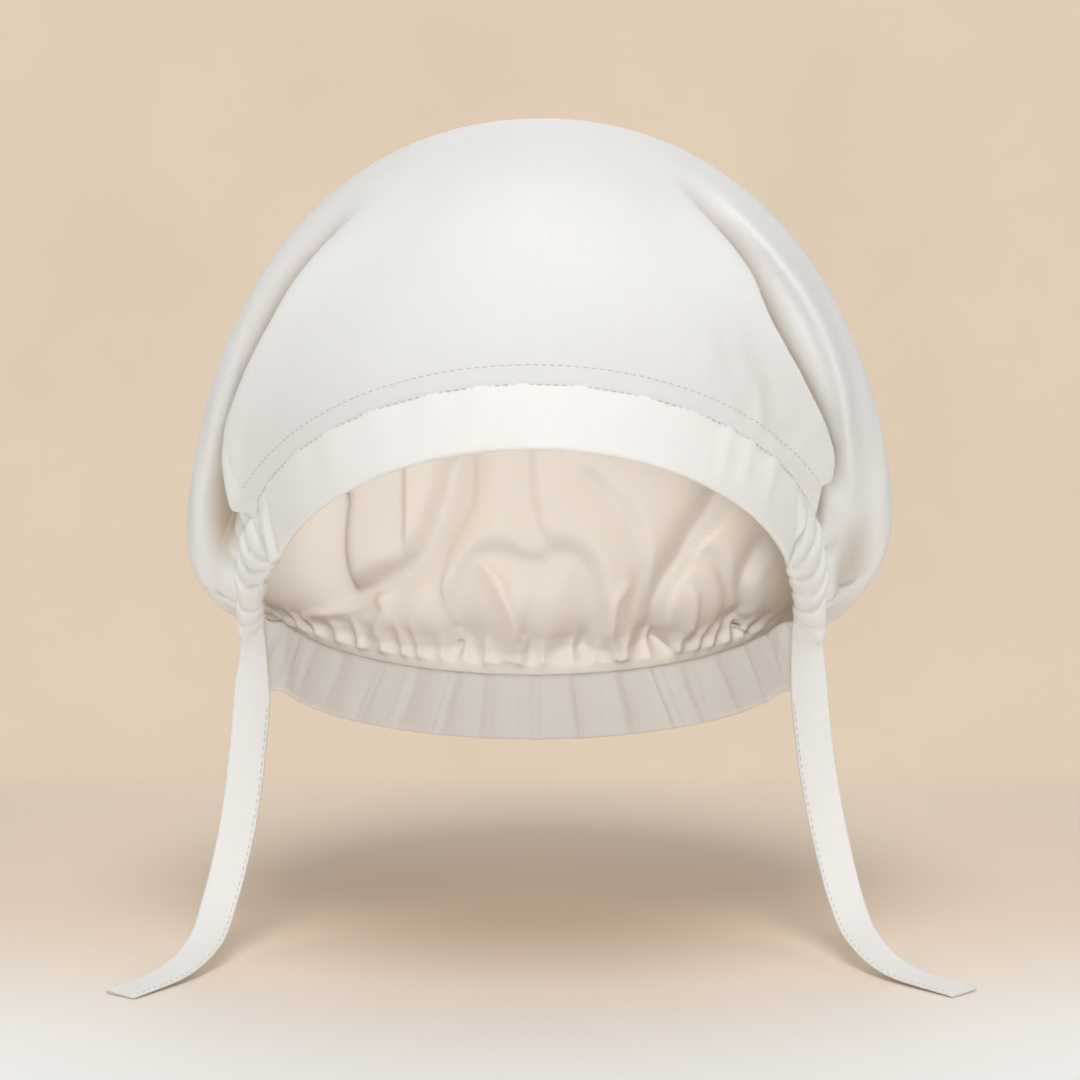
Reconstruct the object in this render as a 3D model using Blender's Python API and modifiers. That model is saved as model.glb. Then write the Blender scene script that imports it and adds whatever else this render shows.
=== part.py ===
"""Silk sleep cap with a plain front band, ruched side casings, a gathered nape and two tie ends.

Metres. +Z is up, the face looks along -Y and +X is on the right when the cap is seen from the front.
The origin is the middle of the opening, level with its two sides, where the head comes in.
Every ring of the cap is followed by its angle in degrees: 0 at the brow, 90 at the +X side,
-90 at the -X side and 180 at the nape. The rise over the crown runs from 0 at its lower edge to 1 at its top.
"""

import bmesh
import bpy
import numpy as np

# The opening: half its width, half its depth, and the heights of its front and rear edges
OPENING_HALF_WIDTH = 0.0880
OPENING_HALF_DEPTH = 0.0880
BROW_RISE = 0.0620
NAPE_DROP = 0.0385

# The front band, the side casings and the elastic nape
BAND_WIDTH = 0.0220
BAND_THICKNESS = 0.0030
CASING_PLUMPNESS = 0.0048
ELASTIC_WIDTH = 0.0245
ELASTIC_THICKNESS = 0.0030
ELASTIC_FLARE = 0.0045
PLEAT_DEPTH = 0.0008
RUCHE_SHARE = 0.10

# The crown: its top above the sides, how far it billows at its edge and how broad its top is
CROWN_HEIGHT = 0.1637
CROWN_BILLOW = 0.0680
CROWN_SPAN = 0.0800
CROWN_SET_BACK = 0.0077
CROWN_LEAN = 0.0030
CROWN_WALL = 0.0012
FOLD_DEPTH = 0.0090
FOLD_WIDTH = 0.0085
GATHER_DEPTH = 0.0026

# The lining hangs loose inside the crown
LINING_WALL = 0.0010
LINING_CLEARANCE = 0.0008
LINING_SLACK = 0.0030
DRAPE_DEPTH = 0.0065
DRAPE_WIDTH = 0.0090

# The two tie ends
TIE_WIDTH = 0.0127
TIE_THICKNESS = 0.0013
TIE_DROP = 0.1045

# Clear space left at every seam
SEAM_GAP = 0.0003

# Where the casings and the elastic start and end, in degrees from the brow, and how much of the casing
# the crown is sewn to
CASING_START = 73.0
CASING_END = 90.0
CROWN_ON_CASING = 0.82
ELASTIC_START = 93.0
ELASTIC_TURN = 10.0
NAPE_START = 99.0
GATHER_TURN = 22.0
HEM_TURN = 9.0

# How far up the crown, as shares of its rise, the folds start, the gathers fade and the top begins to lean
FOLD_START = 0.08
FOLD_FADE = 0.55
GATHER_START = 0.10
GATHER_FADE = 0.14
GATHER_END = 0.55
LEAN_END = 0.35

# The stretch of the lining that the opening shows: degrees from the brow and shares of its rise
DRAPE_FROM = 105.0
DRAPE_TURN = 20.0
DRAPE_START = 0.12
DRAPE_FADE = 0.62
DRAPE_END = 0.85

# Counts of the parts that repeat
GATHER_COUNT = 9
PLEAT_COUNT = 24

# How the band leans over the head: outward, back and up
BAND_FLARE = 0.31
BAND_LEAN = 0.20
BROW_LEAN = 0.22
BAND_UPRIGHT = 0.92

# Angle, lift of the cloth above outward in degrees, its reach there as a share of CROWN_BILLOW,
# and its reach at the top as a share of CROWN_SPAN
MERIDIANS = (
    (0, 85, 0.61, 0.76),
    (35, 81, 0.63, 0.79),
    (60, 71, 0.74, 0.95),
    (80, 41, 0.76, 1.10),
    (90, 15, 0.82, 1.05),
    (100, -8, 1.02, 1.02),
    (125, -5, 1.10, 1.07),
    (150, -3, 1.04, 1.16),
    (180, -3, 1.00, 1.20),
)

# Main folds of the crown: angle at the edge, a quarter up and half way up, width and depth as shares
# of FOLD_WIDTH and FOLD_DEPTH, and the rise where the fold ends
CROWN_FOLDS = (
    (-77, -63, -52, 0.80, 0.30, 0.58),
    (-87, -74, -61, 1.00, -1.00, 0.58),
    (72, 49, 45, 1.00, 0.20, 0.60),
    (78, 60, 53, 1.10, -0.80, 0.60),
    (87, 71, 61, 0.90, 0.25, 0.66),
    (95, 80, 68, 0.90, -0.35, 0.60),
    (91, 99, 104, 1.00, -0.55, 0.26),
)

# Main drapes of the lining, as the opening shows them: across and height of each point of the ridge
# as shares of OPENING_HALF_WIDTH and BROW_RISE, then width and depth as shares of DRAPE_WIDTH and DRAPE_DEPTH
LINING_DRAPES = (
    ((-0.86, 0.30), (-0.62, -0.02), (-0.36, 0.28), (-0.20, 0.80), 0.75, 0.90),
    ((-0.24, 0.30), (0.00, 0.28), (0.22, 0.18), (0.20, -0.40), 0.95, 0.75),
    ((0.72, 0.62), (0.58, 0.30), (0.47, 0.02), (0.47, -0.36), 0.65, 1.00),
    ((-0.34, 0.16), (-0.34, -0.10), (-0.30, -0.30), (-0.28, -0.50), 0.70, 0.55),
)

# The casing from the band's end to the tie's mouth: how far along, how far its inner edge has dropped
# below the opening's edge as a share of TIE_WIDTH, turn of its width from upward to outward in degrees,
# its width as a share of BAND_WIDTH, and its plumpness as a share of CASING_PLUMPNESS
CASING_ROWS = (
    (0.00, 0.00, 18, 1.00, 0.64),
    (0.30, 0.02, 24, 0.86, 0.90),
    (0.55, 0.04, 38, 0.66, 1.00),
    (0.80, 0.12, 84, 0.46, 1.00),
    (1.00, 0.30, 135, 0.57, 0.86),
)

# Routes of the ties from the casing's mouth: outward, forward and down as shares of TIE_DROP, and turn in degrees
LEFT_TIE_ROUTE = (
    (0.000, 0.000, 0.000, 0),
    (0.024, 0.012, 0.180, 0),
    (0.039, 0.033, 0.350, 2),
    (0.056, 0.072, 0.515, 5),
    (0.081, 0.128, 0.670, 9),
    (0.117, 0.222, 0.825, 14),
    (0.153, 0.350, 0.928, 18),
    (0.235, 0.510, 0.985, 22),
    (0.373, 0.706, 1.000, 24),
)
RIGHT_TIE_ROUTE = (
    (0.000, 0.000, 0.000, 0),
    (0.012, 0.010, 0.165, 0),
    (0.029, 0.032, 0.345, 2),
    (0.056, 0.073, 0.530, 6),
    (0.089, 0.132, 0.695, 11),
    (0.124, 0.225, 0.835, 17),
    (0.165, 0.335, 0.923, 22),
    (0.260, 0.490, 0.985, 27),
    (0.438, 0.685, 1.000, 34),
)

UP = np.array([0.0, 0.0, 1.0])


def smooth_value(rows, column, at):
    """Reads one column of a table at a value of its first column, on a smooth curve through the rows."""
    keys = np.array([row[0] for row in rows], float)
    values = np.array([row[column] for row in rows], float)
    slopes = np.gradient(values, keys)
    if keys[-1] == 180:
        slopes[0] = 0.0
        slopes[-1] = 0.0
    at = np.clip(at, keys[0], keys[-1])
    lower = np.clip(np.searchsorted(keys, at, side="right") - 1, 0, len(keys) - 2)
    step = keys[lower + 1] - keys[lower]
    share = (at - keys[lower]) / step
    start = (1 + 2 * share) * (1 - share) ** 2 * values[lower] + share * (1 - share) ** 2 * step * slopes[lower]
    end = share ** 2 * (3 - 2 * share) * values[lower + 1] - share ** 2 * (1 - share) * step * slopes[lower + 1]
    return start + end


def ease(value, start, end):
    """Rises smoothly from 0 at start to 1 at end."""
    share = np.clip((value - start) / (end - start), 0.0, 1.0)
    return share * share * (3.0 - 2.0 * share)


def unit(vectors):
    return vectors / np.linalg.norm(vectors, axis=-1, keepdims=True)


def outward(angle):
    """The level direction away from the middle at an angle."""
    turn = np.radians(angle)
    return np.stack([np.sin(turn), -np.cos(turn), np.zeros_like(turn)], -1)


def opening_edge(angle, rise):
    """A ring of the opening: rise is its height at the brow, or its drop at the nape."""
    turn = np.radians(angle)
    return np.stack([OPENING_HALF_WIDTH * np.sin(turn), -OPENING_HALF_DEPTH * np.cos(turn), rise * np.cos(turn)], -1)


def band_point(angle, share):
    """A point of the front band's middle, from 0 on its free edge to 1 on its seam."""
    turn = np.radians(angle)
    climb = np.stack([BAND_FLARE * np.sin(turn), BAND_LEAN + BROW_LEAN * np.cos(turn),
                      BAND_UPRIGHT * np.ones_like(turn)], -1)
    share = np.asarray(share, float)[..., None]
    return opening_edge(angle, BROW_RISE) + BAND_WIDTH * share * unit(climb)


def casing_edges(along):
    """Inner and outer edge of the +X casing, and its plumpness."""
    angle = CASING_START + (CASING_END - CASING_START) * along
    start = opening_edge(np.full_like(along, CASING_START), BROW_RISE)
    inner = opening_edge(angle, BROW_RISE) - smooth_value(CASING_ROWS, 1, along)[..., None] * TIE_WIDTH * UP
    turn = np.radians(smooth_value(CASING_ROWS, 2, along))
    first = band_point(np.full_like(along, CASING_START), 1.0) - start
    lean = (first[..., 1] / BAND_WIDTH) * (1.0 - along)
    spread = np.stack([np.sin(turn), lean, np.cos(turn)], -1)
    outer = inner + smooth_value(CASING_ROWS, 3, along)[..., None] * BAND_WIDTH * unit(spread)
    return inner, outer, smooth_value(CASING_ROWS, 4, along) * CASING_PLUMPNESS


def elastic_point(angle, share):
    """A point of the elastic's middle, from 0 on its upper seam to 1 on its lower edge, for angles 0 to 180."""
    flare = ELASTIC_FLARE * (1.0 - ease(angle, ELASTIC_START, ELASTIC_START + ELASTIC_TURN))
    top = opening_edge(angle, NAPE_DROP) + flare[..., None] * (outward(angle) - 0.5 * UP)
    return top - np.asarray(share, float)[..., None] * ELASTIC_WIDTH * UP


def seam_line(angle):
    """The crown's lower edge for angles 0 to 180: on the band, then the casing, then the elastic."""
    on_band = band_point(np.minimum(angle, CASING_START), 1.0)
    along = CROWN_ON_CASING * np.clip((angle - CASING_START) / (CASING_END - CASING_START), 0.0, 1.0)
    on_casing = casing_edges(along)[1]
    on_nape = elastic_point(np.maximum(angle, ELASTIC_START), 0.0)
    front = np.where((angle < CASING_START)[..., None], on_band, on_casing)
    line = front + ease(angle, CASING_END, NAPE_START)[..., None] * (on_nape - front)
    side = ease(angle, CASING_START - 4.0, CASING_START + 3.0) * (1.0 - ease(angle, CASING_END, NAPE_START))
    push = np.where(angle < 90.0, BAND_THICKNESS, ELASTIC_THICKNESS) / 2 - CROWN_WALL / 2
    push = push + side * (CROWN_WALL / 2 + SEAM_GAP)
    return line + push[..., None] * outward(angle) + (CROWN_WALL / 2 + 2 * SEAM_GAP) * UP


def crown_base(angle, rise):
    """The crown's plain rounded form, before its folds."""
    turn = np.abs(angle)
    start = seam_line(turn)
    start[..., 0] *= np.sign(angle + 1e-9)
    lift = np.radians(smooth_value(MERIDIANS, 1, turn))[..., None]
    away = outward(angle)
    top = np.array([0.0, CROWN_SET_BACK, CROWN_HEIGHT])
    low_handle = start + smooth_value(MERIDIANS, 2, turn)[..., None] * CROWN_BILLOW * (
        np.cos(lift) * away + np.sin(lift) * UP)
    top_handle = top + smooth_value(MERIDIANS, 3, turn)[..., None] * CROWN_SPAN * away
    share = rise[..., None]
    point = ((1 - share) ** 3 * start + 3 * share * (1 - share) ** 2 * low_handle
             + 3 * share ** 2 * (1 - share) * top_handle + share ** 3 * top)
    point[..., 0] += CROWN_LEAN * ease(rise, 0.0, LEAN_END)
    return point


def crown_normal(angle, rise):
    """The direction out of the crown's plain form."""
    step = 0.01
    low = np.clip(rise - step, 0.0, 0.97)
    around = crown_base(angle + 0.5, low + step) - crown_base(angle - 0.5, low + step)
    upward = crown_base(angle, low + 2 * step) - crown_base(angle, low)
    return unit(np.cross(around, upward))


def fold_height(angle, rise):
    """How far the main folds and the nape's gathers lift the crown, in metres."""
    height = np.zeros_like(angle)
    girth = np.radians(1.0) * OPENING_HALF_WIDTH * (1.0 + 0.25 * rise)
    for edge, quarter, half, width, depth, end in CROWN_FOLDS:
        bend = 8 * (edge - 2 * quarter + half)
        slope = 2 * (half - edge) - bend / 2
        middle = edge + slope * rise + bend * rise ** 2
        across = (angle - middle) * girth / (width * FOLD_WIDTH)
        length = ease(rise, 0.0, FOLD_START) * (1.0 - ease(rise, FOLD_FADE * end, end))
        height += depth * FOLD_DEPTH * length * np.exp(-across ** 2)
    nape = ease(np.abs(angle), NAPE_START, NAPE_START + GATHER_TURN)
    wave = np.cos(np.radians(angle - 180.0) * GATHER_COUNT * 2.0 + 0.5 * np.sin(np.radians(3.0 * angle)))
    length = ease(rise, 0.0, GATHER_START) * (1.0 - ease(rise, GATHER_FADE, GATHER_END))
    return height + GATHER_DEPTH * nape * wave * length


def drape_height(point):
    """How far the lining's drapes stand in from it, seen from the front."""
    height = np.zeros(point.shape[:-1])
    place = point[..., (0, 2)]
    for row in LINING_DRAPES:
        ridge = np.array(row[:4]) * (OPENING_HALF_WIDTH, BROW_RISE)
        nearest = np.full(height.shape, np.inf)
        for start, end in zip(ridge[:-1], ridge[1:]):
            run = end - start
            share = np.clip(((place - start) @ run) / (run @ run), 0.0, 1.0)
            nearest = np.minimum(nearest, np.linalg.norm(place - start - share[..., None] * run, axis=-1))
        height += row[5] * DRAPE_DEPTH * np.exp(-(nearest / (row[4] * DRAPE_WIDTH)) ** 2)
    return height


def crown_point(angle, rise):
    return crown_base(angle, rise) + fold_height(angle, rise)[..., None] * crown_normal(angle, rise)


def lining_point(angle, rise):
    """The lining follows the crown's inward folds, hangs a little slack and has drapes of its own."""
    base = crown_base(angle, rise)
    inward_fold = np.minimum(fold_height(angle, rise), 0.0)
    seat = (CROWN_WALL + LINING_WALL) / 2 + LINING_CLEARANCE
    back = ease(np.abs(angle), DRAPE_FROM, DRAPE_FROM + DRAPE_TURN)
    back = back * ease(rise, 0.0, DRAPE_START) * (1.0 - ease(rise, DRAPE_FADE, DRAPE_END))
    depth = seat + LINING_SLACK * ease(rise, 0.0, FOLD_START) + back * drape_height(base)
    hem = ease(np.abs(angle), NAPE_START, NAPE_START + HEM_TURN) * (1.0 - ease(rise, 0.0, 0.02))
    point = base + (1.2 * inward_fold - depth)[..., None] * crown_normal(angle, rise)
    return point - hem[..., None] * (1.1 * seat * outward(angle) + 0.3 * seat * UP)


def object_collection():
    collection = bpy.data.collections.new("silk_sleep_cap")
    bpy.context.scene.collection.children.link(collection)
    return collection


def cloth_material(name, colour, roughness):
    material = bpy.data.materials.new(name)
    material.use_nodes = True
    shader = material.node_tree.nodes["Principled BSDF"]
    shader.inputs["Base Color"].default_value = (*colour, 1.0)
    shader.inputs["Roughness"].default_value = roughness
    shader.inputs["Metallic"].default_value = 0.0
    material.diffuse_color = (*colour, 1.0)
    return material


def surface_mesh(name, points, closed, top=None):
    """A sheet through a grid of points, row by row, closed round each row or open, with an optional top point.

    Each four-sided face starts at the corner that makes its diagonal run with the folds of its side.
    """
    rows, columns = points.shape[:2]
    shape = bmesh.new()
    grid = [[shape.verts.new(point) for point in row] for row in points]
    last = columns if closed else columns - 1
    for low, high in zip(grid[:-1], grid[1:]):
        for column in range(last):
            following = (column + 1) % columns
            corners = (low[column], low[following], high[following], high[column])
            shape.faces.new(corners if low[column].co.x < 0.0 else corners[1:] + corners[:1])
    if top is not None:
        peak = shape.verts.new(top)
        for column in range(last):
            shape.faces.new((grid[-1][column], grid[-1][(column + 1) % columns], peak))
    mesh = bpy.data.meshes.new(name)
    shape.to_mesh(mesh)
    shape.free()
    return mesh


def add_object(collection, name, mesh, material, wall=None):
    """Puts a mesh in the collection; a wall makes a sheet into a closed solid of that thickness."""
    mesh.materials.append(material)
    part = bpy.data.objects.new(name, mesh)
    collection.objects.link(part)
    if wall is not None:
        solid = part.modifiers.new("Wall", "SOLIDIFY")
        solid.thickness = wall
        solid.offset = 0.0
        solid.use_even_offset = False
    for face in mesh.polygons:
        face.use_smooth = True
    return part


def stations(*stretches):
    """Joins stretches (start, end, count) to one list of values, each end shared with the next start."""
    values = [np.linspace(start, end, count, endpoint=False) for start, end, count in stretches]
    return np.concatenate(values)


def make_crown(collection, material):
    around = stations((-44.0, 44.0, 10), (44.0, 100.0, 20), (100.0, 260.0, 38), (260.0, 316.0, 18))
    around = np.where(around > 180.0, around - 360.0, around)
    rises = np.array([0, 0.02, 0.045, 0.075, 0.11, 0.15, 0.20, 0.26, 0.32, 0.39, 0.46, 0.54, 0.62, 0.71, 0.80, 0.90])
    angle, rise = np.meshgrid(around, rises)
    top = crown_base(np.array([0.0]), np.array([1.0]))[0]
    mesh = surface_mesh("crown", crown_point(angle, rise), True, top)
    add_object(collection, "crown", mesh, material, CROWN_WALL)


def make_lining(collection, material):
    around = stations((-44.0, 44.0, 8), (44.0, 104.0, 16), (104.0, 256.0, 30), (256.0, 316.0, 16))
    around = np.where(around > 180.0, around - 360.0, around)
    rises = np.array([0, 0.02, 0.05, 0.09, 0.14, 0.20, 0.27, 0.35, 0.45, 0.57, 0.70, 0.85])
    angle, rise = np.meshgrid(around, rises)
    depth = (CROWN_WALL + LINING_WALL) / 2 + LINING_CLEARANCE + LINING_SLACK
    top = crown_base(np.array([0.0]), np.array([1.0]))[0] - depth * UP
    mesh = surface_mesh("lining", lining_point(angle, rise), True, top)
    add_object(collection, "lining", mesh, material, LINING_WALL)


def make_front_band(collection, material):
    end = CASING_START - 2 * np.degrees(SEAM_GAP / OPENING_HALF_WIDTH)
    angle, share = np.meshgrid(np.linspace(-end, end, 31), np.linspace(0.0, 1.0, 4))
    mesh = surface_mesh("front_band", band_point(angle, share), False)
    add_object(collection, "front_band", mesh, material, BAND_THICKNESS)


def make_elastic(collection, material):
    angle, share = np.meshgrid(np.linspace(ELASTIC_START, 360.0 - ELASTIC_START, 4 * PLEAT_COUNT + 1),
                               np.array([0.0, 0.4, 1.0]))
    turn = np.where(angle > 180.0, 360.0 - angle, angle)
    points = elastic_point(turn, share)
    points[..., 0] *= np.where(angle > 180.0, -1.0, 1.0)
    pleat = PLEAT_DEPTH * np.cos(2 * np.pi * PLEAT_COUNT * (angle - ELASTIC_START) / (360.0 - 2 * ELASTIC_START))
    points += (pleat * ease(share, 0.0, 0.35))[..., None] * outward(angle)
    mesh = surface_mesh("elastic_band", points, False)
    add_object(collection, "elastic_band", mesh, material, ELASTIC_THICKNESS)


def make_casing(collection, material, name, side):
    """A ruched tube lofted from the band's end to the mouth that the tie leaves."""
    along = np.linspace(0.0, 1.0, 13)
    inner, outer, plump = casing_edges(along)
    middle = (inner + outer) / 2
    reach = (outer - inner) / 2
    forward = unit(np.cross(np.gradient(middle, axis=0), reach))
    ruche = 1.0 + RUCHE_SHARE * np.cos(np.arange(len(along)) * np.pi)
    rings = []
    for turn in np.radians(np.arange(0, 360, 30)):
        across = np.sign(np.cos(turn)) * abs(np.cos(turn)) ** 0.7
        thick = np.sign(np.sin(turn)) * abs(np.sin(turn)) ** 0.8
        rings.append(middle + across * reach + thick * (plump * ruche / 2)[:, None] * forward)
    points = np.stack(rings, 1)
    points[..., 0] *= side
    mesh = surface_mesh(name, points, True)
    shape = bmesh.new()
    shape.from_mesh(mesh)
    bmesh.ops.holes_fill(shape, edges=[edge for edge in shape.edges if edge.is_boundary], sides=0)
    bmesh.ops.recalc_face_normals(shape, faces=shape.faces)
    shape.to_mesh(mesh)
    shape.free()
    add_object(collection, name, mesh, material)


def make_tie(collection, material, name, side, route):
    """A flat doubled strap that hangs from its casing and turns onto the surface in front of the cap."""
    inner, outer, _ = casing_edges(np.array([1.0]))
    mouth = (inner[0] + outer[0]) / 2
    slope = unit(outer[0] - inner[0])
    keys = np.linspace(0.0, 1.0, len(route))
    rows = [(key, *row) for key, row in zip(keys, route)]
    share = np.linspace(0.0, 1.0, 19)
    start = mouth - (TIE_THICKNESS / 2 + SEAM_GAP) * UP
    way = np.stack([smooth_value(rows, 1, share), -smooth_value(rows, 2, share), -smooth_value(rows, 3, share)], -1)
    middle = start + TIE_DROP * way
    heading = unit(np.gradient(middle, axis=0))
    turn = np.radians(smooth_value(rows, 4, share))
    level = np.stack([np.cos(turn), np.sin(turn), np.zeros_like(turn)], -1)
    level = unit(level - np.sum(level * heading, -1, keepdims=True) * heading)
    across = np.array([-0.5, 0.5]) * TIE_WIDTH
    points = middle[:, None, :] + across[None, :, None] * level[:, None, :]
    points[0] = start + across[:, None] * slope
    points[..., 0] *= side
    mesh = surface_mesh(name, points, False)
    add_object(collection, name, mesh, material, TIE_THICKNESS)


def main():
    for item in list(bpy.data.objects):
        bpy.data.objects.remove(item, do_unlink=True)
    collection = object_collection()
    cotton = cloth_material("ivory_sateen", (0.83, 0.80, 0.76), 0.75)
    silk = cloth_material("champagne_silk", (0.70, 0.64, 0.57), 0.35)
    make_crown(collection, cotton)
    make_lining(collection, silk)
    make_front_band(collection, cotton)
    make_elastic(collection, cotton)
    make_casing(collection, cotton, "side_casing_left", -1.0)
    make_casing(collection, cotton, "side_casing_right", 1.0)
    make_tie(collection, cotton, "tie_left", -1.0, LEFT_TIE_ROUTE)
    make_tie(collection, cotton, "tie_right", 1.0, RIGHT_TIE_ROUTE)


main()
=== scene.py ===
"""Looks of the silk sleep cap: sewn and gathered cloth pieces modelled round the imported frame.

Every ring of the cap is followed by its angle in degrees, 0 at the brow, 90 at the +X side and 180 at the nape.
The rise over the crown runs from 0 at its lower edge to 1 at its top. Metres, +Z up, the face looks along -Y.
"""

import math

import bpy
import numpy as np
from mathutils import Matrix, Vector


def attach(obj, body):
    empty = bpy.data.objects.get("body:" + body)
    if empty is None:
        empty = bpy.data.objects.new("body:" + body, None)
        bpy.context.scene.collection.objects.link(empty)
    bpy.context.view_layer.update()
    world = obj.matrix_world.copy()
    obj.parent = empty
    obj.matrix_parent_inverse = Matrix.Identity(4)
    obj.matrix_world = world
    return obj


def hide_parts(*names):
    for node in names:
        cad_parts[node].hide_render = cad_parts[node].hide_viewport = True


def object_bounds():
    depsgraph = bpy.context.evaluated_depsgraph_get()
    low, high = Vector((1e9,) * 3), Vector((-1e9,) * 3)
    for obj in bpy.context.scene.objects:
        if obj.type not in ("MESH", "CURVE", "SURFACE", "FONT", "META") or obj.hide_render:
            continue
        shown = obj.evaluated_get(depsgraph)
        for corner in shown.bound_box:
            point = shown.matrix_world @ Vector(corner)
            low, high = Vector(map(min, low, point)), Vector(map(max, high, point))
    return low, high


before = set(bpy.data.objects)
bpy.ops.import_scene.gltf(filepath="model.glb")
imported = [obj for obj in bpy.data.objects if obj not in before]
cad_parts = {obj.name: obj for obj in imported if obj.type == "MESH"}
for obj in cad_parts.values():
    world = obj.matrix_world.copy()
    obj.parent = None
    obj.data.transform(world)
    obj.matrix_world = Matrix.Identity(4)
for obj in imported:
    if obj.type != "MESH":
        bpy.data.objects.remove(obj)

bl_info = {
    "name": "Silk sleep cap",
    "version": (1, 0, 0),
    "blender": (4, 5, 0),
    "location": "View3D > Sidebar > Sleep Cap",
    "description": "Models the sewn cloth of a silk sleep cap with a gathered nape and two tie ends",
    "category": "Object",
}

CAD_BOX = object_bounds()

# The cap's own sizes, in metres, the same as those of its solids
OPENING_HALF_WIDTH = 0.0880
OPENING_HALF_DEPTH = 0.0880
BROW_RISE = 0.0620
NAPE_DROP = 0.0385
BAND_WIDTH = 0.0220
CASING_PLUMPNESS = 0.0048
ELASTIC_WIDTH = 0.0245
ELASTIC_FLARE = 0.0045
CROWN_HEIGHT = 0.1637
CROWN_BILLOW = 0.0680
CROWN_SPAN = 0.0800
CROWN_SET_BACK = 0.0077
CROWN_LEAN = 0.0030
TIE_WIDTH = 0.0127
TIE_DROP = 0.1045
CASING_START = 73.0
CASING_END = 90.0
CROWN_ON_CASING = 0.82
ELASTIC_START = 93.0
ELASTIC_TURN = 10.0
NAPE_START = 99.0
BAND_FLARE = 0.31
BAND_LEAN = 0.20
BROW_LEAN = 0.22
BAND_UPRIGHT = 0.92
LEAN_END = 0.35
MILLIMETRE = 0.001

# Angle, lift of the cloth above outward in degrees, its reach there as a share of CROWN_BILLOW,
# and its reach at the top as a share of CROWN_SPAN
MERIDIANS = (
    (0, 85, 0.61, 0.76),
    (35, 81, 0.63, 0.79),
    (60, 71, 0.74, 0.95),
    (80, 41, 0.76, 1.1),
    (90, 15, 0.82, 1.05),
    (100, -8, 1.02, 1.02),
    (125, -5, 1.1, 1.07),
    (150, -3, 1.04, 1.16),
    (180, -3, 1.0, 1.2),
)

# Lines that the crown's folds follow: the rise, then the angle
FOLD_LINES = {
    "left_roll": ((0.0, -77), (0.09, -74), (0.14, -72), (0.21, -66), (0.31, -59), (0.46, -53), (0.7, -48)),
    "right_roll": ((0.0, 69.5), (0.05, 70), (0.1, 67), (0.16, 57), (0.25, 47), (0.39, 43), (0.7, 43)),
    "right_valley": ((0.0, 75), (0.09, 74), (0.16, 64), (0.24, 54), (0.34, 49), (0.5, 46), (0.7, 46)),
    "right_ridge": ((0.0, 84), (0.11, 77), (0.18, 72), (0.25, 68), (0.38, 61), (0.53, 56), (0.7, 54)),
    "right_slot": ((0.0, 79), (0.05, 75), (0.09, 73.5), (0.14, 69), (0.3, 60)),
    "right_hollow": ((0.0, 90), (0.07, 88), (0.14, 87), (0.3, 86)),
    "right_pleat": ((0.0, 56), (0.1, 50), (0.2, 44), (0.34, 38)),
    "front_pleat": ((0.0, 44), (0.1, 41), (0.2, 37), (0.34, 32)),
}

# Folds on those lines: the line, how far beside it in mm, height in mm, how far its crest leans over towards larger
# angles in mm, the widths towards smaller and larger angles in mm, and the rises where the fold starts, is full,
# starts to fade and ends
CROWN_FOLDS = (
    ("left_roll", 0.0, 3.6, -3.6, 2.6, 11.0, 0.005, 0.05, 0.34, 0.58),
    ("left_roll", -11.0, -13.0, 0.0, 10.0, 6.0, 0.01, 0.08, 0.3, 0.62),
    ("left_roll", 10.0, -0.9, 0.0, 2.0, 2.6, 0.04, 0.09, 0.1, 0.17),
    ("right_roll", 0.0, 3.6, 4.5, 11.0, 2.6, 0.01, 0.07, 0.34, 0.6),
    ("right_valley", 3.0, -13.0, 0.0, 5.0, 6.5, 0.05, 0.12, 0.34, 0.66),
    ("right_ridge", 0.0, 4.2, -3.0, 4.0, 12.0, 0.01, 0.12, 0.36, 0.66),
    ("right_slot", 0.0, -6.5, 0.0, 2.0, 3.0, 0.0, 0.02, 0.11, 0.2),
    ("right_hollow", 0.0, -5.5, 0.0, 7.0, 7.0, 0.0, 0.045, 0.07, 0.18),
    ("right_pleat", 0.0, -1.8, 0.0, 4.0, 6.0, 0.01, 0.05, 0.14, 0.34),
    ("front_pleat", 0.0, -0.8, 0.0, 4.0, 5.0, 0.01, 0.05, 0.12, 0.3),
)

# Columns of the crown's cloth: the share of the columns, then the angle they run at for each of COLUMN_RISES
COLUMN_RISES = (0.0, 0.1, 0.2, 0.3, 0.45, 0.65, 1.0)
COLUMN_LINES = (
    (0.0, -180, -180, -180, -180, -180, -180, -180),
    (0.17, -104, -106, -106, -105, -104, -104, -104),
    (0.27, -84, -81, -76, -70, -64, -62, -62),
    (0.33, -75, -71.5, -65, -57.5, -51.5, -47, -44),
    (0.38, -66, -60, -52, -46, -42, -39, -38),
    (0.5, 0, 0, 0, 0, 0, 0, 0),
    (0.6, 50, 42, 35, 34, 34, 35, 36),
    (0.665, 68, 66, 52, 45, 43, 43, 43),
    (0.74, 80, 77, 70, 64, 59, 55, 53),
    (0.83, 104, 106, 106, 105, 104, 104, 104),
    (1.0, 180, 180, 180, 180, 180, 180, 180),
)

# Slots of the crown's cloth where it is gathered into the casings: the angle, the depth and half width in mm,
# and the rise where it ends
LEFT_GATHERS = ((77.5, 3.4, 1.3, 0.1), (80.0, 3.8, 1.5, 0.12), (83.4, 3.6, 1.4, 0.1), (86.0, 2.6, 1.5, 0.08),
                (91.0, 2.6, 1.6, 0.09), (94.5, 2.0, 1.6, 0.08))
RIGHT_GATHERS = ((84.0, 2.2, 1.2, 0.07), (91.5, 2.6, 1.5, 0.08), (95.0, 2.2, 1.5, 0.09))

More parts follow.
